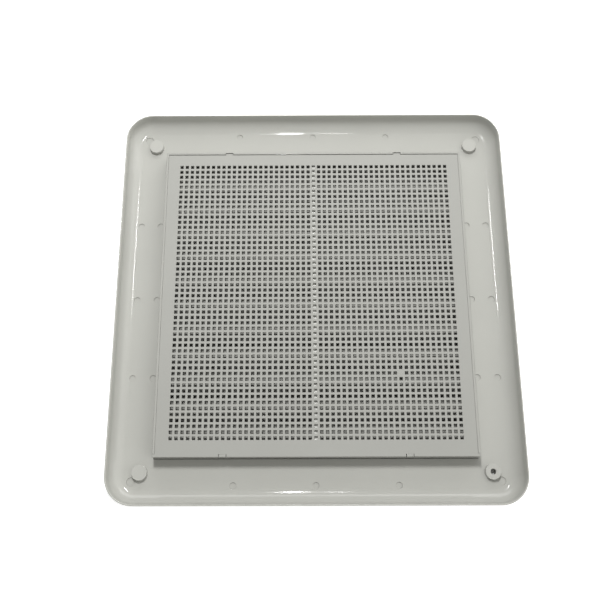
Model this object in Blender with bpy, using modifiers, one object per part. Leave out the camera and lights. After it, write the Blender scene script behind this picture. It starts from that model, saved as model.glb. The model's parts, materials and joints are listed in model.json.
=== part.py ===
"""Roof vent cover: a shallow square pan with a louvre frame, linked blades and a hinged perforated screen.

It lies on its cabin face with the screen up. +X is right, +Y is towards the screen's hinged edge, and
the origin is under the middle of the cover. All sizes are in metres.
"""

import math

import bmesh
import bpy
from mathutils import Matrix, Vector

# Driving dimensions
PERFORATION_PITCH = 0.006
COVER_SIZE = 72 * PERFORATION_PITCH
FRAME_SIZE = 56 * PERFORATION_PITCH
SCREEN_SIZE = 55 * PERFORATION_PITCH
SMOOTH_LIMIT = math.radians(35)
GAP = 0.0003

# Pan
WALL = 0.0025
LIP_THICKNESS = 0.0016
LIP_WIDTH = 0.010
FLOOR_BOTTOM = LIP_THICKNESS + GAP
FLOOR_TOP = FLOOR_BOTTOM + WALL
RIM_TOP = 0.0254
CORNER_RADIUS = 0.030
RIM_RADIUS = 0.0165
CORNER_SEGMENTS = 8
RIM_SEGMENTS = 7

# Screw bosses in the pan's corners; the one at +X, -Y is open and the other three are blind
BOSS_OFFSET = 0.183
BOSS_RADIUS = 0.008
BOSS_HEIGHT = 0.006
BOSS_HOLE_RADIUS = 0.00285

# Louvre frame
FRAME_TOP = 0.026
FRAME_WALL = 0.0024
FRAME_INNER = FRAME_SIZE - 2 * FRAME_WALL
FRAME_DRAFT = math.radians(3.5)
LEDGE_THICKNESS = 0.002
FAR_LEDGE_DROP = 0.0035
NEAR_LEDGE_RISE = 0.0034
LEDGE_CLEARANCE = 0.0007
REST_SIZE = 0.008

# Blades: the rest angle leaves each blade's high edge towards -Y
BLADE_COUNT = 11
BLADE_PITCH = FRAME_INNER / 12
BLADE_CHORD = 0.029
BLADE_THICKNESS = 0.002
BLADE_EDGE_RADIUS = 0.0007
BLADE_REST_ANGLE = math.radians(32)
ROW_CENTRE_Y = -0.0058
PIVOT_Z = 0.0119
PIVOT_RADIUS = 0.002
PIVOT_LENGTH = 0.0035
RAIL_THICKNESS = 0.0035
RAIL_HEIGHT = 0.012
RAIL_END = 0.0076
BLADE_END_GAP = 0.0005
RUNNING_GAP = 0.0003
BLADE_LENGTH = FRAME_INNER - 2 * (GAP + RAIL_THICKNESS + BLADE_END_GAP)

# Link bar, carried on cross pins that stand above the blades
LINK_ARM = 0.0105
LINK_RISE = 0.0029
LINK_WIDTH = 0.005
LINK_HEIGHT = 0.0038
LINK_OVERHANG = 0.004
LINK_FAR_Y = 0.154
LINK_PIN_RADIUS = 0.0009
EAR_THICKNESS = 0.0016
EAR_RADIUS = 0.0018
NOTCH_WIDTH = 0.0062
NOTCH_END = 0.0075
FIXED_NOTCH_END_Y = 0.1575

# Screen: its near end is as wide as the frame; each window stands for three by three perforations
SCREEN_THICKNESS = 0.0022
SCREEN_BOTTOM = FRAME_TOP - SCREEN_THICKNESS
SCREEN_FAR_Y = 0.1648
SCREEN_NEAR_Y = -0.1686
FIELD_SIZE = 51 * PERFORATION_PITCH
WINDOW_ROWS = 17
OPEN_SHARE = 0.6
CLIP_X = 16 * PERFORATION_PITCH
HINGE_Y = 0.1662
HINGE_Z = 0.0250
HINGE_TAB_TOP = 0.0252
HINGE_TAB_WIDTH = 0.0076
HINGE_TAB_END_Y = 0.1671
POCKET_WIDTH = 0.0088
POCKET_END_Y = 0.1676
POCKET_BOTTOM = 0.0230
LATCH_WIDTH = 0.007
LATCH_LENGTH = 0.0026
LATCH_SLIT = 0.0007
LATCH_LEG = 0.0016
LATCH_DROP = 0.0045
LATCH_LEG_Y = -0.1680
LATCH_PIVOT_Z = FRAME_TOP - SCREEN_THICKNESS / 2
NOTCH_MARGIN = 0.0005
LATCH_NOTCH_BOTTOM = 0.0186

# Finger knob on the middle blade
KNOB_RADIUS = 0.004
KNOB_HEIGHT = 0.005
KNOB_SHANK_RADIUS = 0.0015
KNOB_FLANGE_RADIUS = 0.0025
KNOB_FLANGE_HEIGHT = 0.001
KNOB_CHAMFER = 0.001
KNOB_Y = 0.005

PLASTIC = (0.62, 0.62, 0.58, 1.0)
SHADED_PLASTIC = (0.55, 0.55, 0.52, 1.0)
COVER_NAME = "roof_vent_cover"


def clear_scene():
    for item in list(bpy.data.objects):
        bpy.data.objects.remove(item, do_unlink=True)


def new_collection(name):
    made = bpy.data.collections.new(name)
    bpy.context.scene.collection.children.link(made)
    return made


def plastic(name, colour, roughness):
    material = bpy.data.materials.new(name)
    material.use_nodes = True
    shader = material.node_tree.nodes["Principled BSDF"]
    shader.inputs["Base Color"].default_value = colour
    shader.inputs["Roughness"].default_value = roughness
    shader.inputs["Metallic"].default_value = 0.0
    return material


def object_from(bm, name, collection):
    """A new object in a collection, holding the edited mesh."""
    mesh = bpy.data.meshes.new(name)
    bm.to_mesh(mesh)
    bm.free()
    made = bpy.data.objects.new(name, mesh)
    collection.objects.link(made)
    return made


def add_box(bm, low, high):
    """A box between two corners, added to an edited mesh."""
    low, high = Vector(low), Vector(high)
    size = Matrix.Diagonal((*(high - low), 1.0))
    place = Matrix.Translation((low + high) / 2)
    return bmesh.ops.create_cube(bm, size=1.0, matrix=place @ size)["verts"]


def add_cylinder(bm, radius, length, centre, axis, sides=24):
    """A closed cylinder along an axis, added to an edited mesh."""
    turn = Vector((0, 0, 1)).rotation_difference(Vector(axis)).to_matrix().to_4x4()
    place = Matrix.Translation(centre) @ turn
    bmesh.ops.create_cone(bm, cap_ends=True, segments=sides, radius1=radius, radius2=radius, depth=length,
                          matrix=place)


def box_object(name, low, high, collection):
    bm = bmesh.new()
    add_box(bm, low, high)
    return object_from(bm, name, collection)


def boolean(target, tool, operation):
    """Joins or cuts the target with a tool, which stays hidden among the cutters."""
    tool.hide_render = True
    tool.display_type = "WIRE"
    modifier = target.modifiers.new(tool.name, "BOOLEAN")
    modifier.operation = operation
    modifier.object = tool
    modifier.solver = "EXACT"


def baked_mesh(source):
    """The mesh of an object with its modifiers applied."""
    graph = bpy.context.evaluated_depsgraph_get()
    return bpy.data.meshes.new_from_object(source.evaluated_get(graph))


def finish_part(part, material):
    part.data.materials.clear()
    part.data.materials.append(material)


def smooth(part):
    part.data.shade_smooth()
    part.data.set_sharp_from_angle(angle=SMOOTH_LIMIT)


def corner_signs():
    return [(x, y) for x in (-1, 1) for y in (-1, 1)]


def make_cover_shell(parts, cutters):
    """The pan: a box with rounded corners and a rounded rim, hollowed, with bosses and the frame's opening."""
    half = COVER_SIZE / 2
    bm = bmesh.new()
    add_box(bm, (-half, -half, FLOOR_BOTTOM), (half, half, RIM_TOP))
    uprights = [e for e in bm.edges if abs(e.verts[0].co.z - e.verts[1].co.z) > WALL]
    bmesh.ops.bevel(bm, geom=uprights, offset=CORNER_RADIUS, segments=CORNER_SEGMENTS, profile=0.5,
                    affect="EDGES")
    foot = [e for e in bm.edges if all(abs(v.co.z - FLOOR_BOTTOM) < GAP for v in e.verts)]
    bmesh.ops.bevel(bm, geom=foot, offset=RIM_RADIUS, segments=RIM_SEGMENTS, profile=0.5,
                    affect="EDGES")
    lid = [f for f in bm.faces if all(abs(v.co.z - RIM_TOP) < GAP for v in f.verts)]
    bmesh.ops.delete(bm, geom=lid, context="FACES")
    shell = object_from(bm, "cover_shell", parts)
    hollow = shell.modifiers.new("wall", "SOLIDIFY")
    hollow.thickness = WALL
    hollow.offset = -1.0
    hollow.use_even_offset = True
    boolean(shell, make_bosses(cutters), "UNION")
    boolean(shell, make_boss_bore(cutters), "DIFFERENCE")
    opening = drafted_half(FLOOR_BOTTOM) + GAP
    cut = box_object("frame_opening", (-opening, -opening, -WALL), (opening, opening, RIM_TOP), cutters)
    boolean(shell, cut, "DIFFERENCE")
    smooth(shell)
    return shell


def make_bosses(cutters):
    bm = bmesh.new()
    root = FLOOR_BOTTOM + WALL / 2
    length = FLOOR_TOP + BOSS_HEIGHT - root
    for x, y in corner_signs():
        add_cylinder(bm, BOSS_RADIUS, length, (x * BOSS_OFFSET, y * BOSS_OFFSET, root + length / 2), (0, 0, 1))
    return object_from(bm, "boss_posts", cutters)


def make_boss_bore(cutters):
    bm = bmesh.new()
    add_cylinder(bm, BOSS_HOLE_RADIUS, 4 * BOSS_HEIGHT, (BOSS_OFFSET, -BOSS_OFFSET, FLOOR_TOP), (0, 0, 1))
    return object_from(bm, "boss_bore", cutters)


def drafted_half(z):
    """Half the frame's outer width at a height; its walls lean out towards the cabin."""
    return FRAME_SIZE / 2 + (FRAME_TOP - z) * math.tan(FRAME_DRAFT)


def make_louvre_frame(parts, cutters):
    """The raised collar: drafted walls and a flat lip, with its ledges, fixed blade, pockets and notches."""
    inner = FRAME_INNER / 2
    lip = FRAME_SIZE / 2 + LIP_WIDTH
    bm = bmesh.new()
    for vertex in add_box(bm, (-1, -1, 0), (1, 1, FRAME_TOP)):
        vertex.co.x *= drafted_half(vertex.co.z)
        vertex.co.y *= drafted_half(vertex.co.z)
    frame = object_from(bm, "louvre_frame", parts)
    boolean(frame, box_object("frame_lip", (-lip, -lip, 0), (lip, lip, LIP_THICKNESS), cutters), "UNION")
    cut = box_object("frame_bore", (-inner, -inner, -WALL), (inner, inner, FRAME_TOP + WALL), cutters)
    boolean(frame, cut, "DIFFERENCE")
    boolean(frame, make_ledges(cutters, inner), "UNION")
    boolean(frame, make_fixed_blade(cutters, inner), "UNION")
    notch_low = (-NOTCH_WIDTH / 2, 0, PIVOT_Z - BLADE_THICKNESS)
    notch_high = (NOTCH_WIDTH / 2, FIXED_NOTCH_END_Y, FRAME_TOP)
    boolean(frame, box_object("link_notch", notch_low, notch_high, cutters), "DIFFERENCE")
    boolean(frame, make_hinge_pockets(cutters), "DIFFERENCE")
    boolean(frame, make_near_wall_cuts(cutters, inner), "DIFFERENCE")
    return frame


def make_ledges(cutters, inner):
    """Seal ledges that the end blades close on, and four corner rests under the screen."""
    root = inner + FRAME_WALL / 2
    closed_reach = BLADE_CHORD / 2 + LEDGE_CLEARANCE
    bm = bmesh.new()
    far_top = PIVOT_Z - FAR_LEDGE_DROP
    add_box(bm, (-root, blade_y(0) + closed_reach, far_top - LEDGE_THICKNESS), (root, root, far_top))
    near_bottom = PIVOT_Z + NEAR_LEDGE_RISE
    near_y = blade_y(BLADE_COUNT - 1) - closed_reach
    add_box(bm, (-root, -root, near_bottom), (root, near_y, near_bottom + LEDGE_THICKNESS))
    rest_top = SCREEN_BOTTOM - GAP
    for x, y in corner_signs():
        near, far = inner - REST_SIZE, root
        xs, ys = sorted((x * near, x * far)), sorted((y * near, y * far))
        add_box(bm, (xs[0], ys[0], rest_top - LEDGE_THICKNESS), (xs[1], ys[1], rest_top))
    return object_from(bm, "frame_ledges", cutters)


def make_fixed_blade(cutters, inner):
    """A part-width blade moulded to the far wall, in line with the others at their rest angle."""
    high_y = blade_y(0) + BLADE_PITCH - BLADE_CHORD / 2 * math.cos(BLADE_REST_ANGLE)
    high_z = PIVOT_Z + BLADE_CHORD / 2 * math.sin(BLADE_REST_ANGLE)
    length = (inner + FRAME_WALL / 2 - high_y) / math.cos(BLADE_REST_ANGLE)
    half = BLADE_THICKNESS / 2
    bm = bmesh.new()
    add_box(bm, (-inner - FRAME_WALL / 2, 0, -half), (inner + FRAME_WALL / 2, length, half))
    fixed = object_from(bm, "fixed_blade", cutters)
    fixed.location = (0, high_y, high_z)
    fixed.rotation_euler.x = -BLADE_REST_ANGLE
    return fixed


def make_hinge_pockets(cutters):
    """Pockets in the top of the far wall for the two hinge tabs, closed on the outside by a thin skin."""
    bm = bmesh.new()
    for side in (-1, 1):
        x = side * CLIP_X
        low = (x - POCKET_WIDTH / 2, FRAME_INNER / 2 - WALL, POCKET_BOTTOM)
        add_box(bm, low, (x + POCKET_WIDTH / 2, POCKET_END_Y, FRAME_TOP + WALL))
    return object_from(bm, "hinge_pockets", cutters)


def make_near_wall_cuts(cutters, inner):
    """Lowers the near wall under the screen's edge, and notches it for the two latch legs."""
    outside = drafted_half(0) + WALL
    bm = bmesh.new()
    add_box(bm, (-outside, -outside, SCREEN_BOTTOM - GAP), (outside, -inner + GAP, FRAME_TOP + WALL))
    step = object_from(bm, "near_wall_step", cutters)
    bm = bmesh.new()
    half_width = LATCH_WIDTH / 2 + NOTCH_MARGIN
    for side in (-1, 1):
        x = side * CLIP_X
        low = (x - half_width, -outside, LATCH_NOTCH_BOTTOM)
        add_box(bm, low, (x + half_width, -inner + WALL, FRAME_TOP))
    boolean(step, object_from(bm, "latch_notches", cutters), "UNION")
    return step


def blade_y(index):
    """The pivot of one blade, counted from the far edge."""
    return ROW_CENTRE_Y + ((BLADE_COUNT - 1) / 2 - index) * BLADE_PITCH


def make_blade_mesh(cutters, name, knob_hole):
    """A blade with rounded edges, end pivots, a notch, and two ears that carry the link's cross pin."""
    half = Vector((BLADE_LENGTH, BLADE_CHORD, BLADE_THICKNESS)) / 2
    bm = bmesh.new()
    add_box(bm, -half, half)
    long_edges = [e for e in bm.edges if abs(e.verts[0].co.x - e.verts[1].co.x) > BLADE_CHORD]
    bmesh.ops.bevel(bm, geom=long_edges, offset=BLADE_EDGE_RADIUS, segments=2, profile=0.5, affect="EDGES")
    blank = object_from(bm, name + "_blank", cutters)
    notch_low = (-NOTCH_WIDTH / 2, -BLADE_CHORD, -BLADE_CHORD)
    notch = box_object(name + "_notch", notch_low, (NOTCH_WIDTH / 2, -NOTCH_END, BLADE_CHORD), cutters)
    boolean(blank, notch, "DIFFERENCE")
    for ear in make_ears(cutters, name):
        boolean(blank, ear, "UNION")
    boolean(blank, make_pins(cutters, name), "UNION")
    if knob_hole:
        bm = bmesh.new()
        add_cylinder(bm, KNOB_SHANK_RADIUS + RUNNING_GAP, BLADE_CHORD, (0, KNOB_Y, 0), (0, 0, 1))
        boolean(blank, object_from(bm, name + "_knob_hole", cutters), "DIFFERENCE")
    blank.hide_render = True
    mesh = baked_mesh(blank)
    mesh.name = name
    return mesh


def make_ears(cutters, name):
    """Two round-topped ears beside the notch, standing on the blade's screen side."""
    ears = []
    for side, word in ((-1, "left"), (1, "right")):
        inner, outer = side * NOTCH_WIDTH / 2, side * (NOTCH_WIDTH / 2 + EAR_THICKNESS)
        bm = bmesh.new()
        xs = sorted((inner, outer))
        add_box(bm, (xs[0], -LINK_ARM - EAR_RADIUS, 0), (xs[1], -LINK_ARM + EAR_RADIUS, LINK_RISE))
        ear = object_from(bm, f"{name}_{word}_ear", cutters)
        bm = bmesh.new()
        add_cylinder(bm, EAR_RADIUS, EAR_THICKNESS, ((inner + outer) / 2, -LINK_ARM, LINK_RISE), (1, 0, 0), 16)
        boolean(ear, object_from(bm, f"{name}_{word}_ear_top", cutters), "UNION")
        ears.append(ear)
    return ears


def make_pins(cutters, name):
    """The cross pin between the ears, and the pivot at each end of the blade."""
    bm = bmesh.new()
    add_cylinder(bm, LINK_PIN_RADIUS, NOTCH_WIDTH + EAR_THICKNESS, (0, -LINK_ARM, LINK_RISE), (1, 0, 0), 12)
    root = BLADE_THICKNESS
    for side in (-1, 1):
        centre = side * (BLADE_LENGTH / 2 + (PIVOT_LENGTH - root) / 2)
        add_cylinder(bm, PIVOT_RADIUS, PIVOT_LENGTH + root, (centre, 0, 0), (1, 0, 0), 16)
    return object_from(bm, name + "_pins", cutters)


def make_blades(parts, cutters, material):
    """The row of blades; the middle one has a hole for the finger knob."""
    plain = make_blade_mesh(cutters, "blade", False)
    driver = make_blade_mesh(cutters, "driver_blade", True)
    for mesh in (plain, driver):
        mesh.materials.clear()
        mesh.materials.append(material)
    middle = (BLADE_COUNT - 1) // 2
    for index in range(BLADE_COUNT):
        mesh = driver if index == middle else plain
        blade = bpy.data.objects.new(f"louvre_blade_{index + 1:02d}", mesh)
        blade.location = (0, blade_y(index), PIVOT_Z)
        blade.rotation_euler.x = -BLADE_REST_ANGLE
        parts.objects.link(blade)


def link_offset():
    """From a blade's pivot to its cross pin, at the rest angle."""
    turn = Matrix.Rotation(-BLADE_REST_ANGLE, 3, "X")
    return turn @ Vector((0, -LINK_ARM, LINK_RISE))


def make_link_bar(parts, cutters):
    """A bar along the middle with a hole for each blade's cross pin; its origin is the middle pin."""
    offset = link_offset()
    place = Vector((0, ROW_CENTRE_Y + offset.y, PIVOT_Z + offset.z))
    near_end = (BLADE_COUNT - 1) / 2 * BLADE_PITCH + LINK_OVERHANG
    low = (-LINK_WIDTH / 2, -near_end, -LINK_HEIGHT / 2)
    bar = box_object("link_bar", low, (LINK_WIDTH / 2, LINK_FAR_Y - place.y, LINK_HEIGHT / 2), parts)
    bar.location = place
    bm = bmesh.new()
    for index in range(BLADE_COUNT):
        centre = (0, blade_y(index) - ROW_CENTRE_Y, 0)
        add_cylinder(bm, LINK_PIN_RADIUS + RUNNING_GAP, 2 * LINK_WIDTH, centre, (1, 0, 0), 12)
    holes = object_from(bm, "link_holes", cutters)
    holes.location = bar.location
    boolean(bar, holes, "DIFFERENCE")
    return bar


def make_rail(parts, cutters, name, side):
    """A strip snapped inside the frame's side wall, with a bearing hole for each blade."""
    outer = FRAME_INNER / 2 - GAP
    xs = sorted((side * outer, side * (outer - RAIL_THICKNESS)))
    ends = (blade_y(BLADE_COUNT - 1) - RAIL_END, blade_y(0) + RAIL_END)
    half = RAIL_HEIGHT / 2
    rail = box_object(name, (xs[0], ends[0], PIVOT_Z - half), (xs[1], ends[1], PIVOT_Z + half), parts)
    bm = bmesh.new()
    for index in range(BLADE_COUNT):
        centre = (side * outer, blade_y(index), PIVOT_Z)
        add_cylinder(bm, PIVOT_RADIUS + RUNNING_GAP, 4 * RAIL_THICKNESS, centre, (1, 0, 0), 16)
    boolean(rail, object_from(bm, name + "_bearings", cutters), "DIFFERENCE")
    return rail


def make_finger_knob(parts):
    """A turned knob on the cabin side of the middle blade, with a shank and a small retaining flange."""
    clear = BLADE_THICKNESS / 2 + RUNNING_GAP
    flange_top = clear + KNOB_FLANGE_HEIGHT
    profile = [
        (0, flange_top),
        (KNOB_FLANGE_RADIUS, flange_top),
        (KNOB_FLANGE_RADIUS, clear),
        (KNOB_SHANK_RADIUS, clear),
        (KNOB_SHANK_RADIUS, -clear),
        (KNOB_RADIUS, -clear),
        (KNOB_RADIUS, -clear - KNOB_HEIGHT + KNOB_CHAMFER),
        (KNOB_RADIUS - KNOB_CHAMFER, -clear - KNOB_HEIGHT),
        (0, -clear - KNOB_HEIGHT),
    ]
    bm = bmesh.new()
    points = [bm.verts.new((x, 0, z)) for x, z in profile]
    for start, end in zip(points, points[1:]):
        bm.edges.new((start, end))
    knob = object_from(bm, "finger_knob", parts)
    screw = knob.modifiers.new("turned", "SCREW")
    screw.steps = 24
    screw.render_steps = 24
    screw.use_merge_vertices = True
    screw.merge_threshold = 0.00001
    turn = Matrix.Rotation(-BLADE_REST_ANGLE, 3, "X")
    knob.location = Vector((0, ROW_CENTRE_Y, PIVOT_Z)) + turn @ Vector((0, KNOB_Y, 0))
    knob.rotation_euler.x = -BLADE_REST_ANGLE
    smooth(knob)
    return knob


def make_screen(parts, cutters):
    """The panel, with windows that stand for groups of perforations; its origin is on the hinge axis."""
    half = SCREEN_SIZE / 2
    hinge = Vector((0, HINGE_Y, HINGE_Z))
    bm = bmesh.new()
    low, high = Vector((-half, SCREEN_NEAR_Y, SCREEN_BOTTOM)), Vector((half, SCREEN_FAR_Y, FRAME_TOP))
    add_box(bm, low - hinge, high - hinge)
    screen = object_from(bm, "screen_panel", parts)
    screen.location = hinge
    end = FRAME_SIZE / 2
    end_high = (end, -FRAME_INNER / 2, FRAME_TOP)
    boolean(screen, box_object("screen_near_end", (-end, SCREEN_NEAR_Y, SCREEN_BOTTOM), end_high, cutters), "UNION")
    boolean(screen, make_windows(cutters), "DIFFERENCE")
    boolean(screen, make_latch_cuts(cutters), "DIFFERENCE")
    bm = bmesh.new()
    for side in (-1, 1):
        x = side * CLIP_X
        low = (x - HINGE_TAB_WIDTH / 2, SCREEN_FAR_Y - WALL, SCREEN_BOTTOM)
        add_box(bm, low, (x + HINGE_TAB_WIDTH / 2, HINGE_TAB_END_Y, HINGE_TAB_TOP))
    boolean(screen, object_from(bm, "hinge_tabs", cutters), "UNION")
    return screen


def make_windows(cutters):
    """A square grid of windows with the same open area as the fine perforation."""
    step = FIELD_SIZE / WINDOW_ROWS
    side = step * OPEN_SHARE / 2
    bm = bmesh.new()
    for column in range(WINDOW_ROWS):
        for row in range(WINDOW_ROWS):
            x = (column - (WINDOW_ROWS - 1) / 2) * step
            y = (row - (WINDOW_ROWS - 1) / 2) * step
            add_box(bm, (x - side, y - side, SCREEN_BOTTOM - WALL), (x + side, y + side, FRAME_TOP + WALL))
    return object_from(bm, "screen_windows", cutters)


def make_latch_cuts(cutters):
    """Notches in the screen's near edge, in which the latch tongues flex."""
    half_width = LATCH_WIDTH / 2 + LATCH_SLIT
    top_y = SCREEN_NEAR_Y + LATCH_LENGTH + GAP
    bm = bmesh.new()
    for side in (-1, 1):
        x = side * CLIP_X
        low = (x - half_width, SCREEN_NEAR_Y - WALL, SCREEN_BOTTOM - WALL)
        add_box(bm, low, (x + half_width, top_y, FRAME_TOP + WALL))
    return object_from(bm, "latch_cuts", cutters)


def latch_hinge(side):
    """The middle of a latch tongue's flexing root."""
    return Vector((side * CLIP_X, SCREEN_NEAR_Y + LATCH_LENGTH, LATCH_PIVOT_Z))


def make_latch(parts, cutters, name, side):
    """A tongue with a leg that sits in a notch of the frame's near wall; its origin is on the flexing root."""
    hinge = latch_hinge(side)
    half_width = LATCH_WIDTH / 2
    low = Vector((hinge.x - half_width, SCREEN_NEAR_Y, SCREEN_BOTTOM)) - hinge
    high = Vector((hinge.x + half_width, hinge.y, FRAME_TOP)) - hinge
    latch = box_object(name, low, high, parts)
    latch.location = hinge
    leg_low = Vector((hinge.x - half_width, LATCH_LEG_Y, SCREEN_BOTTOM - LATCH_DROP))
    leg_high = Vector((hinge.x + half_width, LATCH_LEG_Y + LATCH_LEG, LATCH_PIVOT_Z))
    boolean(latch, box_object(name + "_leg", leg_low, leg_high, cutters), "UNION")
    return latch


def build():
    clear_scene()
    parts = new_collection(COVER_NAME)
    cutters = new_collection("cutters")
    gloss = plastic("gloss_plastic", PLASTIC, 0.3)
    blade_plastic = plastic("blade_plastic", SHADED_PLASTIC, 0.4)
    finish_part(make_cover_shell(parts, cutters), gloss)
    finish_part(make_louvre_frame(parts, cutters), plastic("frame_plastic", PLASTIC, 0.32))
    make_blades(parts, cutters, blade_plastic)
    finish_part(make_link_bar(parts, cutters), plastic("link_plastic", SHADED_PLASTIC, 0.4))
    finish_part(make_finger_knob(parts), plastic("knob_plastic", PLASTIC, 0.35))
    finish_part(make_screen(parts, cutters), plastic("screen_plastic", PLASTIC, 0.38))
    for word, side in (("left", -1), ("right", 1)):
        rail = make_rail(parts, cutters, f"{word}_pivot_rail", side)
        finish_part(rail, plastic(f"{word}_rail_plastic", SHADED_PLASTIC, 0.4))
        latch = make_latch(parts, cutters, f"{word}_latch_tongue", side)
        finish_part(latch, plastic(f"{word}_latch_plastic", PLASTIC, 0.38))


build()
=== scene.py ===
"""Looks of the roof vent cover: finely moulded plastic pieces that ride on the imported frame."""

import json
import math

import bmesh
import bpy
from mathutils import Matrix, Vector


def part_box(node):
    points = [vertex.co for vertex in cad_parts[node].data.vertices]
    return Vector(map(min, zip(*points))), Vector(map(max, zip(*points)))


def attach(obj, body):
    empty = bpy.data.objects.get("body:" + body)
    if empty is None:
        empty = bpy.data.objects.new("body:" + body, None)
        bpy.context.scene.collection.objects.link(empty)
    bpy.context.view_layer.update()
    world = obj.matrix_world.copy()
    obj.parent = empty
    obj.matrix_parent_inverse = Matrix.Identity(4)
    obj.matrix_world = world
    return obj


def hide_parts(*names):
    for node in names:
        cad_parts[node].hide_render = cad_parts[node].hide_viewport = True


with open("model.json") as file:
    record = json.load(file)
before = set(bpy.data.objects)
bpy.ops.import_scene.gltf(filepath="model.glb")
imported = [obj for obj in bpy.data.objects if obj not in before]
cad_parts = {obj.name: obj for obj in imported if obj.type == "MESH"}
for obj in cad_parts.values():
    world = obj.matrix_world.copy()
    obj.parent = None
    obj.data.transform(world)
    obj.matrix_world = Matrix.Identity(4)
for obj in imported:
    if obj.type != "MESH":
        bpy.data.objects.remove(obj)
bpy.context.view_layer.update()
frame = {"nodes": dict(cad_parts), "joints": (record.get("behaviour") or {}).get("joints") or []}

# Shapes repeated from the design, in metres and radians

# Screen
PITCH = 0.006
HOLES = 51
HOLE_SIDE = 0.0036
FLASHED_HOLE = (40, 11)
CHAMFER = 0.00015
SCREEN_FAR_Y = 0.1648
TAB_WIDTH = 0.0076
TAB_DROP = 0.0008

# Pan
WALL = 0.0025
RIM_EDGE = 0.0016
CORNER_RADIUS = 0.030
RIM_RADIUS = 0.0165
BOSS_OFFSET = 0.183
BOSS_RADIUS = 0.008
BOSS_HEIGHT = 0.006
BOSS_HOLE_RADIUS = 0.00285
EDGE_ROUND = 0.0004

# Louvre frame
FRAME_WALL = 0.0024
FRAME_DRAFT = math.radians(3.5)
LIP_THICKNESS = 0.0016
LIP_WIDTH = 0.010
FIXED_NOTCH_END_Y = 0.1575
SEAL_THICKNESS = 0.002
FAR_SEAL_DROP = 0.0035
NEAR_SEAL_RISE = 0.0034
SEAL_GAP = 0.0007
REST_SIZE = 0.008
CLIP_X = 16 * PITCH
POCKET_WIDTH = 0.0088
POCKET_END_Y = 0.1676
POCKET_BOTTOM = 0.0230
LATCH_NOTCH_BOTTOM = 0.0186
NOTCH_MARGIN = 0.0005

# Blades, link bar and knob
BLADE_CHORD = 0.029
BLADE_THICKNESS = 0.002
BLADE_END_GAP = 0.0005
BLADE_STEPS = 14
BLADE_EDGE = 0.45
BLADE_FLATNESS = 10
REST_ANGLE = math.radians(32)
PIVOT_RADIUS = 0.002
PIVOT_LENGTH = 0.0035
PIVOT_ROOT = 0.002
LINK_ARM = 0.0105
LINK_RISE = 0.0029
LINK_PIN_RADIUS = 0.0009
EAR_THICKNESS = 0.0016
EAR_RADIUS = 0.0018
NOTCH_WIDTH = 0.0062
NOTCH_END = 0.0075
KNOB_Y = 0.005
KNOB_HOLE_RADIUS = 0.0018
KNOB_LENGTH = 0.005
KNOB_STEPS = 64
FLUTES = 16
FLUTE_DEPTH = 0.045
FLUTED_FROM = 0.0039

# Latches
LATCH_WIDTH = 0.007
LATCH_LENGTH = 0.0026
LATCH_SLIT = 0.0007
LATCH_LEG = 0.0016
LATCH_ROUND = 0.0002
ROOT_LINE = 0.00005
ROOT_SLOPE = 0.0002

# Gaps between pieces
GAP = 0.0003
SIDE_GAP = 0.00015

# Marks of the ejector pins on the pan's floor
MARK_RADIUS = 0.0035
MARK_DEPTH = 0.0012
DISH_SIDE = 0.0002
MARK_STEP = 0.086
MARK_OFFSET = 0.1963
INNER_MARK_OFFSET = 0.1745
CORNER_MARK_OFFSET = 0.1922
CORNER_MARK_RADIUS = 0.0045
MARK_CREASE = math.radians(18)

# Fineness of curves, cuts and edges
CORNER_STEPS = 20
SIDE_STEPS = 16
RIM_STEPS = 12
BOSS_SIDES = 48
MARK_SIDES = 40
PIVOT_SIDES = 32
PIN_SIDES = 24
MERGE_DISTANCE = 0.00001
BEVEL_ANGLE = math.radians(40)
SMOOTH_ANGLE = math.radians(32)

# Plastic: cloudy tint, specks, orange peel
CLOUD_SCALE = 14.0
CLOUD_RANGE = (0.3, 0.7)
SPECK_SCALE = 900.0
SPECK_RANGE = (0.28, 0.42)
SPECK_DARKENING = (4, 4, 4.4)
PEEL_SCALE = 220.0
PEEL_STRENGTH = 0.05
PEEL_DEPTH = 0.0004
UNEVEN_GLOSS = (0.86, 1.16)
PLASTIC_IOR = 1.53

# Studio: the floor, where it starts to glow around the cover, and the camera
FLOOR_SIZE = 6.0
FLOOR_DROP = 0.0001
PAPER_GREYS = (0.93, 0.96)
GLOW_INSIDE = 0.011
GLOW_OUTSIDE = 0.001
GLOW = 0.6
CAMERA_LENS = 51.18
CAMERA_SHIFT = (0.0075, -0.15)
CAMERA_PLACE = (-0.0174, -0.2156, 0.9309)
CAMERA_TURN = (19.11, 0.245, -0.151)

# Lamps: name, place, width and height, power
LAMPS = [
    ("key", (-0.10, 0.40, 1.3), (0.10, 0.22), 10.6),
    ("lamp", (-0.035, 0.44, 1.3), (0.035, 0.34), 2.1),
    ("second_lamp", (0.085, 0.44, 1.3), (0.04, 0.20), 0.35),
    ("far_softbox", (0.1, 0.95, 0.7), (1.3, 0.6), 5.0),
]

# The room's light from +X, -Y and overhead, its even part and its colour
ROOM_LIGHT = {(1, 0, 0): 1.10, (0, -1, 0): 0.34, (0, 0, 1): 0.26}
ROOM_BASE = 0.02
ROOM_COLOUR = (1.0, 1.0, 0.97, 1)

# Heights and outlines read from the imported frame
SHELL_LOW, SHELL_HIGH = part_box("cover_shell")
FRAME_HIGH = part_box("louvre_frame")[1]
SCREEN_LOW, SCREEN_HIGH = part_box("screen_panel")
LINK_LOW, LINK_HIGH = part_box("link_bar")
RAIL_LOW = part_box("right_pivot_rail")[0]
COVER_HALF = SHELL_HIGH.x
FLOOR_TOP = SHELL_LOW.z + WALL
RIM_TOP = SHELL_HIGH.z
FRAME_HALF = FRAME_HIGH.x - LIP_WIDTH
FRAME_INNER = FRAME_HALF - FRAME_WALL
FRAME_TOP = FRAME_HIGH.z
SCREEN_HALF = FRAME_INNER - SIDE_GAP
NEAR_END_Y = -FRAME_INNER


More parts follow.
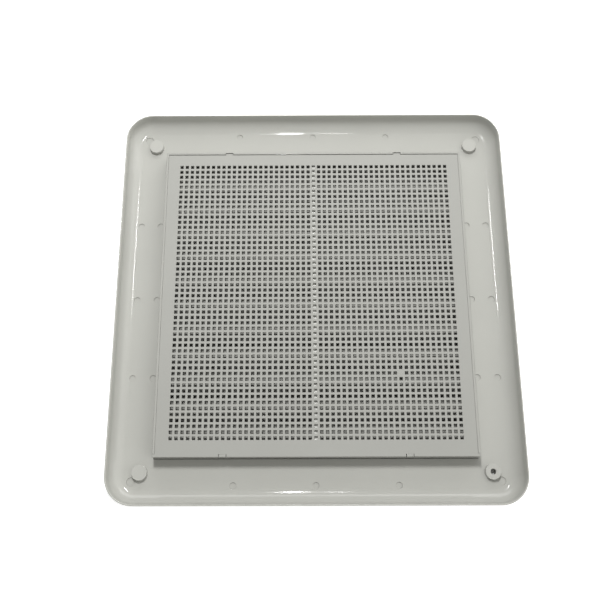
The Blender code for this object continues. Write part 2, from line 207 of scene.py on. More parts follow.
def joint(name):
    return next(j for j in frame["joints"] if j["name"] == name)


BLADE_NAMES = sorted(n for n in frame["nodes"] if n.startswith("louvre_blade_"))
BLADE_PIVOTS = [Vector(joint(f"blade_{n[-2:]}_pivot")["pos_m"]) for n in BLADE_NAMES]
DRIVER = len(BLADE_NAMES) // 2


# ---------------------------------------------------------------- materials


def node(tree, kind, place, **values):
    """A new shader node, with its inputs and settings given by name."""
    made = tree.nodes.new(kind)
    made.location = place
    for key, value in values.items():
        if key in made.inputs:
            made.inputs[key].default_value = value
        else:
            setattr(made, key, value)
    return made


def colour_ramp(tree, place, span, colours):
    """A ramp from one colour to another over a span of values."""
    made = node(tree, "ShaderNodeValToRGB", place)
    for element, position, colour in zip(made.color_ramp.elements, span, colours):
        element.position = position
        element.color = (*colour, 1)
    return made


def map_range(tree, place, source, target):
    """Stretches one span of values onto another."""
    made = node(tree, "ShaderNodeMapRange", place)
    made.inputs["From Min"].default_value, made.inputs["From Max"].default_value = source
    made.inputs["To Min"].default_value, made.inputs["To Max"].default_value = target
    return made


def moulded_plastic(name, colour, roughness, grain, speckle, specular=0.5):
    """Moulded ABS: faint cloudy tint, fine specks, a slight orange peel and uneven gloss."""
    material = bpy.data.materials.new(name)
    material.use_nodes = True
    tree = material.node_tree
    shader = tree.nodes["Principled BSDF"]
    link = tree.links.new
    place = node(tree, "ShaderNodeTexCoord", (-1400, 0))

    cloud = node(tree, "ShaderNodeTexNoise", (-1150, 250), Scale=CLOUD_SCALE, Detail=5.0,
                 Roughness=0.6)
    link(place.outputs["Object"], cloud.inputs["Vector"])
    darker = [c * (1 - grain) for c in colour]
    lighter = [min(1.0, c * (1 + grain)) for c in colour]
    tint = colour_ramp(tree, (-900, 250), CLOUD_RANGE, (darker, lighter))
    link(cloud.outputs["Fac"], tint.inputs["Fac"])

    specks = node(tree, "ShaderNodeTexNoise", (-1150, -30), Scale=SPECK_SCALE, Detail=2.0)
    link(place.outputs["Object"], specks.inputs["Vector"])
    speck = [1 - speckle * share for share in SPECK_DARKENING]
    speck_ramp = colour_ramp(tree, (-900, -30), SPECK_RANGE, (speck, (1, 1, 1)))
    link(specks.outputs["Fac"], speck_ramp.inputs["Fac"])
    mix = node(tree, "ShaderNodeMix", (-600, 150), data_type="RGBA", blend_type="MULTIPLY")
    mix.inputs["Factor"].default_value = 1.0
    link(tint.outputs["Color"], mix.inputs[6])
    link(speck_ramp.outputs["Color"], mix.inputs[7])
    link(mix.outputs[2], shader.inputs["Base Color"])

    spread = [roughness * share for share in UNEVEN_GLOSS]
    uneven = map_range(tree, (-600, -150), CLOUD_RANGE, spread)
    link(cloud.outputs["Fac"], uneven.inputs["Value"])
    link(uneven.outputs["Result"], shader.inputs["Roughness"])

    peel = node(tree, "ShaderNodeTexNoise", (-1150, -400), Scale=PEEL_SCALE, Detail=3.0)
    link(place.outputs["Object"], peel.inputs["Vector"])
    relief = node(tree, "ShaderNodeBump", (-600, -400), Strength=PEEL_STRENGTH,
                  Distance=PEEL_DEPTH)
    link(peel.outputs["Fac"], relief.inputs["Height"])
    link(relief.outputs["Normal"], shader.inputs["Normal"])
    shader.inputs["IOR"].default_value = PLASTIC_IOR
    shader.inputs["Specular IOR Level"].default_value = specular
    return material


def plain_floor():
    """Pale studio paper, faintly mottled, which glows a little beyond the cover's outline."""
    material = bpy.data.materials.new("studio_paper")
    material.use_nodes = True
    tree = material.node_tree
    shader = tree.nodes["Principled BSDF"]
    noise = node(tree, "ShaderNodeTexNoise", (-700, 0), Scale=3.0, Detail=3.0)
    ramp = colour_ramp(tree, (-450, 0), (0, 1), [(grey, grey, grey) for grey in PAPER_GREYS])
    tree.links.new(noise.outputs["Fac"], ramp.inputs["Fac"])
    tree.links.new(ramp.outputs["Color"], shader.inputs["Base Color"])
    shader.inputs["Roughness"].default_value = 0.9
    shader.inputs["Specular IOR Level"].default_value = 0.1
    shader.inputs["Emission Color"].default_value = (1, 1, 1, 1)
    place = node(tree, "ShaderNodeTexCoord", (-1500, -300))
    size = node(tree, "ShaderNodeVectorMath", (-1300, -300), operation="ABSOLUTE")
    beyond = node(tree, "ShaderNodeVectorMath", (-1100, -300), operation="SUBTRACT")
    straight = COVER_HALF - CORNER_RADIUS
    beyond.inputs[1].default_value = (straight, straight, 0)
    outside = node(tree, "ShaderNodeVectorMath", (-900, -300), operation="MAXIMUM")
    reach = node(tree, "ShaderNodeVectorMath", (-700, -300), operation="LENGTH")
    edge = (CORNER_RADIUS - GLOW_INSIDE, CORNER_RADIUS + GLOW_OUTSIDE)
    glow = map_range(tree, (-450, -300), edge, (0.0, GLOW))
    tree.links.new(place.outputs["Object"], size.inputs[0])
    tree.links.new(size.outputs["Vector"], beyond.inputs[0])
    tree.links.new(beyond.outputs["Vector"], outside.inputs[0])
    tree.links.new(outside.outputs["Vector"], reach.inputs[0])
    tree.links.new(reach.outputs["Value"], glow.inputs["Value"])
    tree.links.new(glow.outputs["Result"], shader.inputs["Emission Strength"])
    return material


SHELL_PLASTIC = moulded_plastic(
    "shell_plastic", (0.445, 0.445, 0.416), 0.09, grain=0.018, speckle=0.006)
FRAME_PLASTIC = moulded_plastic(
    "frame_plastic", (0.368, 0.368, 0.344), 0.1, grain=0.018, speckle=0.006)
SCREEN_PLASTIC = moulded_plastic(
    "screen_plastic", (0.35, 0.35, 0.328), 0.5, grain=0.02, speckle=0.008, specular=0.25)
BLADE_PLASTIC = moulded_plastic(
    "blade_plastic", (0.31, 0.31, 0.29), 0.45, grain=0.025, speckle=0.01)
LINK_PLASTIC = moulded_plastic(
    "link_plastic", (0.86, 0.86, 0.82), 0.35, grain=0.02, speckle=0.008)
RAIL_PLASTIC = moulded_plastic(
    "rail_plastic", (0.38, 0.38, 0.355), 0.4, grain=0.03, speckle=0.01)
KNOB_PLASTIC = moulded_plastic(
    "knob_plastic", (0.41, 0.41, 0.383), 0.3, grain=0.02, speckle=0.008)


# ---------------------------------------------------------------- mesh helpers


def object_from(bm, name):
    mesh = bpy.data.meshes.new(name)
    bm.normal_update()
    bm.to_mesh(mesh)
    bm.free()
    made = bpy.data.objects.new(name, mesh)
    bpy.context.scene.collection.objects.link(made)
    return made


def add_box(bm, low, high):
    low, high = Vector(low), Vector(high)
    size = Matrix.Diagonal((*(high - low), 1.0))
    bmesh.ops.create_cube(bm, size=1.0, matrix=Matrix.Translation((low + high) / 2) @ size)


def add_cylinder(bm, radius, length, centre, axis=(0, 0, 1), sides=BOSS_SIDES):
    turn = Vector((0, 0, 1)).rotation_difference(Vector(axis)).to_matrix().to_4x4()
    place = Matrix.Translation(centre) @ turn
    bmesh.ops.create_cone(bm, cap_ends=True, segments=sides, radius1=radius, radius2=radius,
                          depth=length, matrix=place)


def add_dish(bm, radius, depth, centre):
    """A cutter for a shallow round recess with a sloping side; centre is on the surface."""
    slope = DISH_SIDE / depth
    above = 2 * depth
    middle = Vector(centre) + Vector((0, 0, (above - depth) / 2))
    bmesh.ops.create_cone(bm, cap_ends=True, segments=MARK_SIDES, radius1=radius - DISH_SIDE,
                          radius2=radius + above * slope, depth=above + depth,
                          matrix=Matrix.Translation(middle))


def box_shape(*boxes):
    """An edited mesh with one box for each pair of corners."""
    bm = bmesh.new()
    for low, high in boxes:
        add_box(bm, low, high)
    return bm


def box_object(name, low, high):
    return object_from(box_shape((low, high)), name)


def boolean(target, bm, name, operation):
    """Adds a boolean to the target and returns the shape that it uses."""
    tool = object_from(bm, name)
    modifier = target.modifiers.new(name, "BOOLEAN")
    modifier.operation = operation
    modifier.object = tool
    modifier.solver = "EXACT"
    return tool


def bevel(piece, width, segments=3):
    modifier = piece.modifiers.new("edge", "BEVEL")
    modifier.width = width
    modifier.segments = segments
    modifier.limit_method = "ANGLE"
    modifier.angle_limit = BEVEL_ANGLE
    modifier.use_clamp_overlap = True
    modifier.harden_normals = False


def even_normals(piece):
    """Keeps large flat faces flat-shaded next to their rounded edges."""
    modifier = piece.modifiers.new("normals", "WEIGHTED_NORMAL")
    modifier.mode = "FACE_AREA"
    modifier.weight = 100
    modifier.keep_sharp = True


def apply_all(piece, tools=()):
    """Applies a piece's modifiers and removes the shapes that they used."""
    graph = bpy.context.evaluated_depsgraph_get()
    mesh = bpy.data.meshes.new_from_object(piece.evaluated_get(graph))
    old = piece.data
    piece.modifiers.clear()
    piece.data = mesh
    mesh.name = piece.name
    bpy.data.meshes.remove(old)
    for tool in tools:
        bpy.data.objects.remove(tool, do_unlink=True)


def dress(piece, material, body, replaced, smooth=SMOOTH_ANGLE, weighted=True):
    """Gives a piece its material and shading and its body, and hides the nodes it replaces."""
    piece.data.materials.clear()
    piece.data.materials.append(material)
    piece.data.shade_smooth()
    piece.data.set_sharp_from_angle(angle=smooth)
    if weighted:
        even_normals(piece)
        apply_all(piece)
    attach(piece, body)
    if replaced:
        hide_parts(*replaced)
    return piece


def corners():
    """The signs of x and y in the four corners."""
    return [(x, y) for x in (-1, 1) for y in (-1, 1)]


# ---------------------------------------------------------------- pan


def rounded_square(inset):
    """Points around the cover's outline, moved inwards; the corners stay concentric."""
    centre = COVER_HALF - CORNER_RADIUS
    radius = CORNER_RADIUS - inset
    points = []
    for corner in range(4):
        turn = Matrix.Rotation(corner * math.pi / 2, 2)
        for step in range(CORNER_STEPS + 1):
            angle = step / CORNER_STEPS * math.pi / 2
            spot = Vector((centre + radius * math.cos(angle), centre + radius * math.sin(angle)))
            points.append(turn @ spot)
    return points


def arc(centre, radius, start, end, steps):
    """Points of an arc in the wall's section, as inset and height; angles are in degrees."""
    angles = [math.radians(start + (end - start) * i / steps) for i in range(steps + 1)]
    return [(centre[0] + radius * math.cos(a), centre[1] + radius * math.sin(a)) for a in angles]


def pan_blank():
    """The pan's section swept around its outline: floor, rounded side, wall and round rim."""
    low = SHELL_LOW.z
    middle = (RIM_RADIUS, low + RIM_RADIUS)
    round_edge = RIM_EDGE / 2
    section = arc(middle, RIM_RADIUS, 270, 180, SIDE_STEPS)
    section += arc((round_edge, RIM_TOP - round_edge), round_edge, 180, 0, RIM_STEPS)
    section += arc(middle, RIM_RADIUS - WALL, 180, 270, SIDE_STEPS)
    bm = bmesh.new()
    rings = [[bm.verts.new((*spot, z)) for spot in rounded_square(inset)] for inset, z in section]
    for lower, upper in zip(rings, rings[1:]):
        for i in range(len(lower)):
            bm.faces.new((lower[i - 1], lower[i], upper[i], upper[i - 1]))
    bm.faces.new(reversed(rings[0]))
    bm.faces.new(rings[-1])
    bmesh.ops.recalc_face_normals(bm, faces=bm.faces)
    return object_from(bm, "cover_shell_moulding")


def mark_places():
    """Where the ejector pins left their round marks on the pan's floor."""
    steps = [-MARK_STEP, 0, MARK_STEP]
    places = [(s, side * MARK_OFFSET) for s in steps for side in (-1, 1)]
    places += [(side * MARK_OFFSET, s) for s in steps for side in (-1, 1)]
    places += [(side * INNER_MARK_OFFSET, s) for s in steps for side in (-1, 1)]
    return places


def make_pan():
    """The pan with its bosses, its one bore, the square opening and the ejector marks."""
    pan = pan_blank()
    tools = []
    posts = bmesh.new()
    root = SHELL_LOW.z + WALL / 2
    length = FLOOR_TOP + BOSS_HEIGHT - root
    for x, y in corners():
        foot = (x * BOSS_OFFSET, y * BOSS_OFFSET, root + length / 2)
        add_cylinder(posts, BOSS_RADIUS, length, foot)
    tools.append(boolean(pan, posts, "posts", "UNION"))
    bore = bmesh.new()
    centre = (BOSS_OFFSET, -BOSS_OFFSET, FLOOR_TOP)
    add_cylinder(bore, BOSS_HOLE_RADIUS, 4 * BOSS_HEIGHT, centre)
    tools.append(boolean(pan, bore, "bore", "DIFFERENCE"))
    bevel(pan, EDGE_ROUND)
    opening = drafted_half(SHELL_LOW.z) + GAP
    cut = box_shape(((-opening, -opening, -WALL), (opening, opening, RIM_TOP)))
    tools.append(boolean(pan, cut, "opening", "DIFFERENCE"))
    marks = bmesh.new()
    for x, y in mark_places():
        add_dish(marks, MARK_RADIUS, MARK_DEPTH, (x, y, FLOOR_TOP))
    for x, y in corners():
        offset = CORNER_MARK_OFFSET
        add_dish(marks, CORNER_MARK_RADIUS, MARK_DEPTH, (x * offset, y * offset, FLOOR_TOP))
    tools.append(boolean(pan, marks, "marks", "DIFFERENCE"))
    apply_all(pan, tools)
    return dress(pan, SHELL_PLASTIC, "cover", ["cover_shell"], smooth=MARK_CREASE)


# ---------------------------------------------------------------- louvre frame


def drafted_half(z):
    """Half the collar's outer width at a height; its walls lean out towards the cabin."""
    return FRAME_HALF + (FRAME_TOP - z) * math.tan(FRAME_DRAFT)


def make_frame():
    """The collar with its lip, ledges, fixed blade, rests, hinge pockets and latch notches."""
    inner, lip = FRAME_INNER, FRAME_HIGH.x
    collar = box_object("louvre_frame_moulding", (-1, -1, 0), (1, 1, FRAME_TOP))
    for vertex in collar.data.vertices:
        vertex.co.x *= drafted_half(vertex.co.z)
        vertex.co.y *= drafted_half(vertex.co.z)
    flange = box_shape(((-lip, -lip, 0), (lip, lip, LIP_THICKNESS)))
    hollow = box_shape(((-inner, -inner, -WALL), (inner, inner, FRAME_TOP + WALL)))
    tools = [
        boolean(collar, flange, "lip", "UNION"),
        boolean(collar, hollow, "inside", "DIFFERENCE"),
    ]
    bevel(collar, EDGE_ROUND)
    outside = lip + WALL
    tools += [
        boolean(collar, ledge_shapes(inner), "ledges", "UNION"),
        boolean(collar, fixed_blade_shape(inner), "fixed_blade", "UNION"),
        boolean(collar, link_notch_shape(), "link_notch", "DIFFERENCE"),
        boolean(collar, hinge_pocket_shapes(inner), "hinge_pockets", "DIFFERENCE"),
        boolean(collar, near_step_shape(outside), "near_wall_step", "DIFFERENCE"),
        boolean(collar, latch_notch_shapes(outside), "latch_notches", "DIFFERENCE"),
    ]
    apply_all(collar, tools)
    return dress(collar, FRAME_PLASTIC, "cover", ["louvre_frame"])


def link_notch_shape():
    """The space in the fixed blade where the link bar swings."""
    low = (-NOTCH_WIDTH / 2, 0, BLADE_PIVOTS[0].z - BLADE_THICKNESS)
    return box_shape((low, (NOTCH_WIDTH / 2, FIXED_NOTCH_END_Y, FRAME_TOP)))


def hinge_pocket_shapes(inner):
    """The two pockets in the far wall that take the screen's tabs."""
    pockets = []
    for side in (-1, 1):
        x = side * CLIP_X
        low = (x - POCKET_WIDTH / 2, inner - WALL, POCKET_BOTTOM)
        pockets.append((low, (x + POCKET_WIDTH / 2, POCKET_END_Y, FRAME_TOP + WALL)))
    return box_shape(*pockets)


def near_step_shape(outside):
    """What is cut from the near wall's top, down to a gap below the screen."""
    low = (-outside, -outside, SCREEN_LOW.z - GAP)
    return box_shape((low, (outside, NEAR_END_Y + GAP, FRAME_TOP + WALL)))


def latch_notch_shapes(outside):
    """The two notches in the near wall that the latch legs stand in."""
    half_width = LATCH_WIDTH / 2 + NOTCH_MARGIN
    notches = []
    for side in (-1, 1):
        x = side * CLIP_X
        low = (x - half_width, -outside, LATCH_NOTCH_BOTTOM)
        notches.append((low, (x + half_width, NEAR_END_Y + WALL, FRAME_TOP)))
    return box_shape(*notches)


def ledge_shapes(inner):
    """The far and near seal ledges and the four corner rests."""
    root = inner + FRAME_WALL / 2
    pivot_z = BLADE_PIVOTS[0].z
    reach = BLADE_CHORD / 2 + SEAL_GAP
    bm = bmesh.new()
    top = pivot_z - FAR_SEAL_DROP
    add_box(bm, (-root, BLADE_PIVOTS[0].y + reach, top - SEAL_THICKNESS), (root, root, top))
    low = pivot_z + NEAR_SEAL_RISE
    end = BLADE_PIVOTS[-1].y - reach
    add_box(bm, (-root, -root, low), (root, end, low + SEAL_THICKNESS))
    rest_top = SCREEN_LOW.z - GAP
    for x, y in corners():
        xs = sorted((x * (inner - REST_SIZE), x * root))
        ys = sorted((y * (inner - REST_SIZE), y * root))
        add_box(bm, (xs[0], ys[0], rest_top - SEAL_THICKNESS), (xs[1], ys[1], rest_top))
    return bm


def fixed_blade_shape(inner):
    """The part-width blade that the far wall carries."""
    pitch = BLADE_PIVOTS[0].y - BLADE_PIVOTS[1].y
    high_y = BLADE_PIVOTS[0].y + pitch - BLADE_CHORD / 2 * math.cos(REST_ANGLE)
    high_z = BLADE_PIVOTS[0].z + BLADE_CHORD / 2 * math.sin(REST_ANGLE)
    root = inner + FRAME_WALL / 2
    length = (root - high_y) / math.cos(REST_ANGLE)
    bm = bmesh.new()
    add_box(bm, (-root, 0, -BLADE_THICKNESS / 2), (root, length, BLADE_THICKNESS / 2))
    place = Matrix.Translation((0, high_y, high_z)) @ Matrix.Rotation(-REST_ANGLE, 4, "X")
    bm.transform(place)
    return bm


# ---------------------------------------------------------------- blades, link, knob


def crowned_bar(name, half_length):
    """A blade's body along X, with a slightly crowned section and rounded edges."""
    half_chord = BLADE_CHORD / 2
    section = []
    for i in range(BLADE_STEPS + 1):
        y = -half_chord + BLADE_CHORD * i / BLADE_STEPS
        taper = math.sqrt(max(0.0, 1 - (abs(y) / half_chord) ** BLADE_FLATNESS))
        section.append((y, BLADE_THICKNESS / 2 * (BLADE_EDGE + (1 - BLADE_EDGE) * taper)))
    outline = section + [(y, -z) for y, z in reversed(section)]
    bm = bmesh.new()
    left = [bm.verts.new((-half_length, y, z)) for y, z in outline]
    right = [bm.verts.new((half_length, y, z)) for y, z in outline]
    count = len(outline)
    for i in range(count):
        j = (i + 1) % count
        bm.faces.new((left[i], left[j], right[j], right[i]))
    bm.faces.new(list(reversed(left)))
    bm.faces.new(right)
    bmesh.ops.recalc_face_normals(bm, faces=bm.faces)
    return object_from(bm, name)


def ear_shapes(side):
    """One ear beside the notch: its post, and its round top about the cross pin."""
    xs = sorted((side * NOTCH_WIDTH / 2, side * (NOTCH_WIDTH / 2 + EAR_THICKNESS)))
    low = (xs[0], -LINK_ARM - EAR_RADIUS, 0)
    post = box_shape((low, (xs[1], -LINK_ARM + EAR_RADIUS, LINK_RISE)))
    top = bmesh.new()
    centre = (sum(xs) / 2, -LINK_ARM, LINK_RISE)
    add_cylinder(top, EAR_RADIUS, EAR_THICKNESS, centre, (1, 0, 0), PIVOT_SIDES)
    return post, top


def pin_shapes(half_length):
    """The cross pin between the ears, and the pivot at each end of the blade."""
    bm = bmesh.new()
    pin = (0, -LINK_ARM, LINK_RISE)
    add_cylinder(bm, LINK_PIN_RADIUS, NOTCH_WIDTH + EAR_THICKNESS, pin, (1, 0, 0), PIN_SIDES)
    length = PIVOT_LENGTH + PIVOT_ROOT
    for side in (-1, 1):
        x = side * (half_length + (PIVOT_LENGTH - PIVOT_ROOT) / 2)
        add_cylinder(bm, PIVOT_RADIUS, length, (x, 0, 0), (1, 0, 0), PIVOT_SIDES)
    return bm


def blade_master(name, knob_hole):
    """A whole blade, lying flat with its pivots on the X axis."""
    half_length = RAIL_LOW.x - BLADE_END_GAP
    blade = crowned_bar(name, half_length)
    low = (-NOTCH_WIDTH / 2, -BLADE_CHORD, -BLADE_CHORD)
    notch = box_shape((low, (NOTCH_WIDTH / 2, -NOTCH_END, BLADE_CHORD)))
    tools = [boolean(blade, notch, name + "_notch", "DIFFERENCE")]
    for side in (-1, 1):
        post, top = ear_shapes(side)
        tools.append(boolean(blade, post, f"{name}_ear_{side}", "UNION"))
        tools.append(boolean(blade, top, f"{name}_ear_top_{side}", "UNION"))
    tools.append(boolean(blade, pin_shapes(half_length), name + "_pins", "UNION"))
    if knob_hole:
        bm = bmesh.new()
        add_cylinder(bm, KNOB_HOLE_RADIUS, BLADE_CHORD, (0, KNOB_Y, 0))
        tools.append(boolean(blade, bm, name + "_knob_hole", "DIFFERENCE"))
    apply_all(blade, tools)
    return blade


def make_blades():
    """Every blade is its own piece at its own pivot, in the rest pose."""
    plain = blade_master("blade_master", False)
    driver = blade_master("driver_master", True)
    turn = Matrix.Rotation(-REST_ANGLE, 4, "X")
    for index, (cad_name, pivot) in enumerate(zip(BLADE_NAMES, BLADE_PIVOTS)):
        master = driver if index == DRIVER else plain
        blade = bpy.data.objects.new(f"blade_moulding_{index + 1:02d}", master.data.copy())
        bpy.context.scene.collection.objects.link(blade)
        blade.matrix_world = Matrix.Translation(pivot) @ turn
        dress(blade, BLADE_PLASTIC, f"blade_{cad_name[-2:]}", [cad_name])
    for master in (plain, driver):
        bpy.data.objects.remove(master, do_unlink=True)


def make_link():
    """The link bar, with rounded edges and a bearing hole for each blade."""
    bar = box_object("link_bar_moulding", LINK_LOW, LINK_HIGH)
    centre = Vector(joint("link_pivot")["pos_m"])
    pitch = BLADE_PIVOTS[0].y - BLADE_PIVOTS[1].y
    radius = LINK_PIN_RADIUS + GAP
    bm = bmesh.new()
    for index in range(len(BLADE_PIVOTS)):
        y = centre.y + (index - DRIVER) * pitch
        add_cylinder(bm, radius, NOTCH_WIDTH, (0, y, centre.z), (1, 0, 0), PIN_SIDES)
    tools = [boolean(bar, bm, "link_bores", "DIFFERENCE")]
    bevel(bar, EDGE_ROUND)
    apply_all(bar, tools)
    return dress(bar, LINK_PLASTIC, "link", ["link_bar"])


def make_knob():
    """A turned finger knob with a dished face and a fluted rim."""
    clear = BLADE_THICKNESS / 2 + GAP
    foot = clear + KNOB_LENGTH
    rivet = [(0.0, 0.001), (0.0022, 0.001), (0.0025, 0.0007), (0.0025, 0.0), (0.0015, 0.0)]
    neck = [(0.0015, 0.0), (0.0034, 0.0), (0.0037, -0.0004), (0.0040, -0.0012)]
    face = [(0.0040, 0.0010), (0.0037, 0.0003), (0.0032, 0.0), (0.0022, 0.0003),
            (0.0012, 0.0006), (0.0, 0.0007)]
    sections = [(rivet, clear), (neck, -clear), (face, -foot)]
    profile = [(x, start + z) for points, start in sections for x, z in points]
    bm = bmesh.new()
    points = [bm.verts.new((x, 0, z)) for x, z in profile]
    for start, end in zip(points, points[1:]):
        bm.edges.new((start, end))
    knob = object_from(bm, "finger_knob_moulding")
    screw = knob.modifiers.new("turned", "SCREW")
    screw.steps = KNOB_STEPS
    screw.render_steps = KNOB_STEPS
    screw.use_merge_vertices = True
    screw.merge_threshold = MERGE_DISTANCE
    apply_all(knob)
    for vertex in knob.data.vertices:
        ring = math.hypot(vertex.co.x, vertex.co.y)
        if ring > FLUTED_FROM:
            turn = math.atan2(vertex.co.y, vertex.co.x)
            flute = 1 - FLUTE_DEPTH * max(0.0, math.cos(FLUTES * turn))
            vertex.co.x *= flute
            vertex.co.y *= flute
    blade_place = Matrix.Translation(BLADE_PIVOTS[DRIVER]) @ Matrix.Rotation(-REST_ANGLE, 4, "X")
    knob.matrix_world = blade_place @ Matrix.Translation((0, KNOB_Y, 0))
    return dress(knob, KNOB_PLASTIC, "blade_06", ["finger_knob"])


def dress_rails():
    """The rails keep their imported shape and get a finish."""
    for name in ("left_pivot_rail", "right_pivot_rail"):
        rail = frame["nodes"][name]
        rail.data.materials.clear()
        rail.data.materials.append(RAIL_PLASTIC)


# ---------------------------------------------------------------- screen


def hole_lines(side):
    """The edges of the holes along one axis."""
    centres = [(i - (HOLES - 1) / 2) * PITCH for i in range(HOLES)]
    return [centre + turn * side / 2 for centre in centres for turn in (-1, 1)]


def skin(bm, side, z, margin):
    """One level of the panel: its grid of points, for a hole width and an edge margin."""
    end, half = SCREEN_HIGH.x - margin, SCREEN_HALF - margin
    columns = [-end, -half, *hole_lines(side), half, end]
    rows = [SCREEN_LOW.y + margin, NEAR_END_Y - margin, *hole_lines(side), SCREEN_FAR_Y - margin]
    return [[bm.verts.new((x, y, z)) for y in rows] for x in columns]


def solid_cell(i, j):
    """Whether a grid cell holds plastic: all but the holes, one of which flash has closed.

    Only the first row reaches the outer columns.
    """
    last_column, last_row = 2 * HOLES + 2, 2 * HOLES + 1
    if not (0 <= i <= last_column and 0 <= j <= last_row):
        return False
    if i in (0, last_column):
        return j == 0
    hole = i % 2 == 0 and j % 2 == 0 and j > 0
    return not hole or (i // 2 - 1, j // 2 - 1) == FLASHED_HOLE


def perforated_plate():
    """Two skins with the holes left out, joined by chamfered hole walls and edges."""
    bm = bmesh.new()
    levels = [
        skin(bm, HOLE_SIDE + 2 * CHAMFER, SCREEN_HIGH.z, CHAMFER),
        skin(bm, HOLE_SIDE, SCREEN_HIGH.z - CHAMFER, 0),
        skin(bm, HOLE_SIDE, SCREEN_LOW.z, 0),
    ]
    top, bottom = levels[0], levels[-1]
    neighbours = [(0, -1), (1, 0), (0, 1), (-1, 0)]
    for i in range(2 * HOLES + 3):
        for j in range(2 * HOLES + 2):
            if not solid_cell(i, j):
                continue
            ring = [(i, j), (i + 1, j), (i + 1, j + 1), (i, j + 1)]
            bm.faces.new([top[a][b] for a, b in ring])
            bm.faces.new([bottom[a][b] for a, b in reversed(ring)])
            for side, (right, up) in enumerate(neighbours):
                if solid_cell(i + right, j + up):
                    continue
                (a, b), (c, d) = ring[side], ring[(side + 1) % 4]
                for upper, lower in zip(levels, levels[1:]):
                    bm.faces.new((upper[c][d], upper[a][b], lower[a][b], lower[c][d]))
    spare = [v for v in bm.verts if not v.link_faces]
    bmesh.ops.delete(bm, geom=spare, context="VERTS")
    bmesh.ops.recalc_face_normals(bm, faces=bm.faces)
    return object_from(bm, "screen_panel_moulding")


def latch_cut_shapes():
    """The two notches in the screen's near edge, with a slit on each side of a tongue."""
    half = LATCH_WIDTH / 2 + LATCH_SLIT
    root = SCREEN_LOW.y + LATCH_LENGTH + ROOT_LINE
    cuts = []
    for side in (-1, 1):
        x = side * CLIP_X
        low = (x - half, SCREEN_LOW.y - WALL, SCREEN_LOW.z - WALL)
        cuts.append((low, (x + half, root, SCREEN_HIGH.z + WALL)))
    return box_shape(*cuts)


def hinge_tab_shapes():
    """The two tabs at the screen's far edge."""
    tabs = []
    for side in (-1, 1):
        x = side * CLIP_X
        low = (x - TAB_WIDTH / 2, SCREEN_FAR_Y - WALL, SCREEN_LOW.z)
        tabs.append((low, (x + TAB_WIDTH / 2, SCREEN_HIGH.y - GAP, SCREEN_HIGH.z - TAB_DROP)))
    return box_shape(*tabs)


def make_screen():
    """The perforated panel with its latch slits and hinge tabs."""
    screen = perforated_plate()
    tools = [
        boolean(screen, latch_cut_shapes(), "latch_cuts", "DIFFERENCE"),
        boolean(screen, hinge_tab_shapes(), "hinge_tabs", "UNION"),
    ]
    apply_all(screen, tools)
    return dress(screen, SCREEN_PLASTIC, "screen", ["screen_panel"],
                 weighted=False)


def make_latches():
    """The two latch tongues, each with its leg; the root face leans back so that it can flex."""
    for word, side in (("left", -1), ("right", 1)):
        cad_name = f"{word}_latch_tongue"
        low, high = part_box(cad_name)
        tongue = box_object(f"{word}_latch_moulding", (low.x, low.y, SCREEN_LOW.z), high)
        for vertex in tongue.data.vertices:
            if vertex.co.y > (low.y + high.y) / 2 and vertex.co.z < SCREEN_LOW.z + WALL / 4:
                vertex.co.y -= ROOT_SLOPE
        leg = box_shape((low, (high.x, low.y + LATCH_LEG, SCREEN_LOW.z + WALL / 2)))
        tools = [boolean(tongue, leg, cad_name + "_leg", "UNION")]
        bevel(tongue, LATCH_ROUND, 2)
        apply_all(tongue, tools)
        dress(tongue, SCREEN_PLASTIC, f"{word}_latch", [cad_name])


# ---------------------------------------------------------------- studio


def area_light(name, place, size, power):
    """A rectangular lamp that faces the origin."""
    data = bpy.data.lights.new(name, "AREA")
    data.shape = "RECTANGLE"
    data.size, data.size_y = size
    data.energy = power
    lamp = bpy.data.objects.new(name, data)
    lamp.location = place
    lamp.rotation_mode = "QUATERNION"
    lamp.rotation_quaternion = (-Vector(place)).to_track_quat("-Z", "Y")
    bpy.context.scene.collection.objects.link(lamp)
    return lamp


def make_studio():
    """Pale floor, dim room, key light, two small lamps for the glints, and a softbox."""
    bm = bmesh.new()
    bmesh.ops.create_grid(bm, x_segments=2, y_segments=2, size=FLOOR_SIZE)
    floor = object_from(bm, "studio_floor")
    floor.location.z = -FLOOR_DROP
    floor.data.materials.append(plain_floor())
    make_room_light()
    lamps = {name: area_light(name, place, size, power) for name, place, size, power in LAMPS}
    lamps["key"].visible_glossy = False


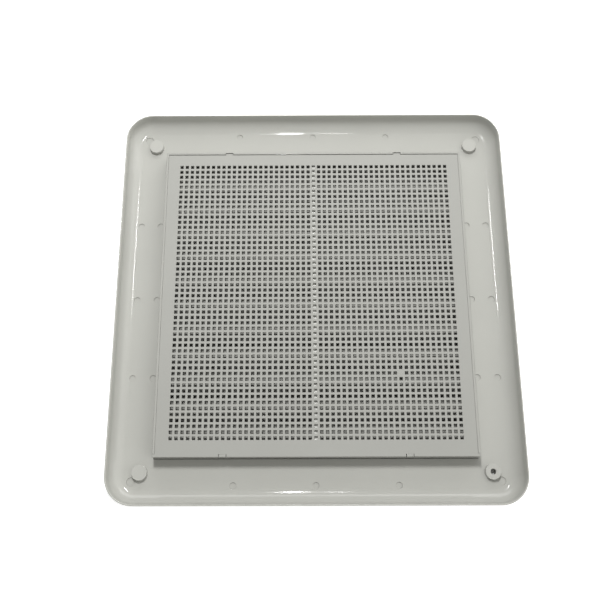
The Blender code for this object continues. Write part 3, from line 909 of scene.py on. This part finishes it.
def make_room_light():
    """A dim room, lighter overhead, towards the near side and most of all towards the right.

    Seen directly, past the floor's end, it is as pale as the floor.
    """
    world = bpy.data.worlds.new("studio")
    bpy.context.scene.world = world
    world.use_nodes = True
    tree = world.node_tree
    place = node(tree, "ShaderNodeTexCoord", (-1100, 0))
    total = None
    for row, (direction, strength) in enumerate(ROOM_LIGHT.items()):
        height = -200 * row
        towards = node(tree, "ShaderNodeVectorMath", (-900, height), operation="DOT_PRODUCT")
        towards.inputs[1].default_value = direction
        facing = node(tree, "ShaderNodeMath", (-700, height), operation="MAXIMUM")
        facing.inputs[1].default_value = 0.0
        level = node(tree, "ShaderNodeMath", (-500, height), operation="MULTIPLY_ADD")
        level.inputs[1].default_value = strength
        level.inputs[2].default_value = ROOM_BASE
        tree.links.new(place.outputs["Generated"], towards.inputs[0])
        tree.links.new(towards.outputs["Value"], facing.inputs[0])
        tree.links.new(facing.outputs["Value"], level.inputs[0])
        if total:
            tree.links.new(total, level.inputs[2])
        total = level.outputs["Value"]
    back = tree.nodes["Background"]
    back.inputs["Color"].default_value = ROOM_COLOUR
    tree.links.new(total, back.inputs["Strength"])
    white = (1.0, 1.0, 1.0, 1)
    pale = node(tree, "ShaderNodeBackground", (-100, -200), Color=white, Strength=1.0)
    seen = node(tree, "ShaderNodeLightPath", (-100, 400))
    either = node(tree, "ShaderNodeMixShader", (150, 0))
    tree.links.new(seen.outputs["Is Camera Ray"], either.inputs["Fac"])
    tree.links.new(back.outputs["Background"], either.inputs[1])
    tree.links.new(pale.outputs["Background"], either.inputs[2])
    tree.links.new(either.outputs["Shader"], tree.nodes["World Output"].inputs["Surface"])


def make_camera():
    """Looks steeply down at the cover from its near side."""
    data = bpy.data.cameras.new("camera")
    data.sensor_width = 36.0
    data.lens = CAMERA_LENS
    data.shift_x, data.shift_y = CAMERA_SHIFT
    data.clip_start, data.clip_end = 0.01, 50.0
    camera = bpy.data.objects.new("camera", data)
    camera.location = CAMERA_PLACE
    camera.rotation_euler = [math.radians(angle) for angle in CAMERA_TURN]
    bpy.context.scene.collection.objects.link(camera)
    bpy.context.scene.camera = camera


make_camera()
make_pan()
make_frame()
make_blades()
make_link()
make_knob()
dress_rails()
make_screen()
make_latches()
make_studio()
bpy.context.scene.view_settings.view_transform = "Standard"
